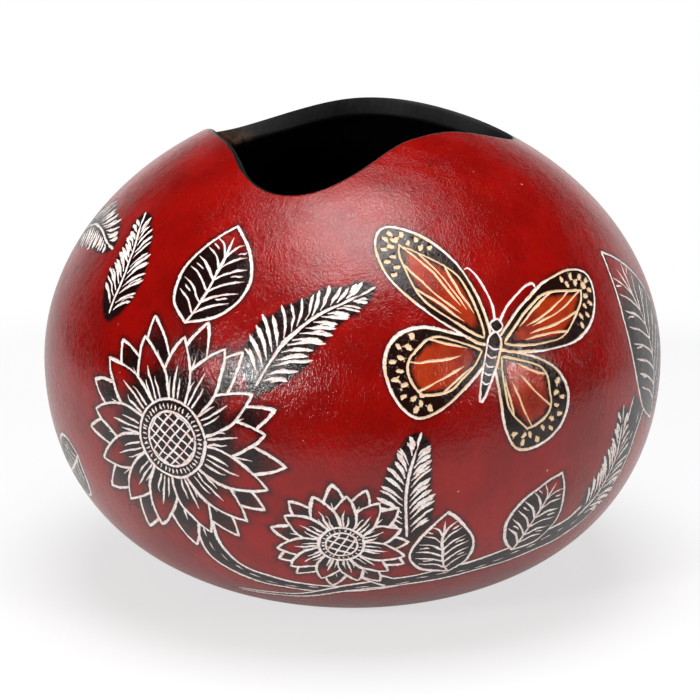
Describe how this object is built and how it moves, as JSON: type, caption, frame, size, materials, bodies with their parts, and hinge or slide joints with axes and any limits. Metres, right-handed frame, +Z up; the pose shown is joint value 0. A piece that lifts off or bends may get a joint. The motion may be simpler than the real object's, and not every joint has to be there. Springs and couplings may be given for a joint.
{
  "type": "carved gourd bowl",
  "caption": "Squat round dried gourd with a wavy sawn mouth, dyed and varnished skin for scratched decoration, and a painted inside.",
  "frame": {"origin": "centre of the sanded flat under the bowl, on the surface that it stands on", "axes": "+Z up, the front of the bowl faces -Y, +X to the right seen from the front"},
  "size_m": [0.14, 0.14, 0.1078],
  "materials": {
    "dyed_skin": "red dyed and varnished gourd skin, semi-gloss",
    "gourd_wood": "bare sanded gourd wood",
    "black_paint": "satin black acrylic paint film"
  },
  "bodies": {
    "root": {"dyed_skin": "dyed_skin", "gourd_shell": "gourd_wood", "black_paint_coat": "black_paint"}
  },
  "joints": []
}
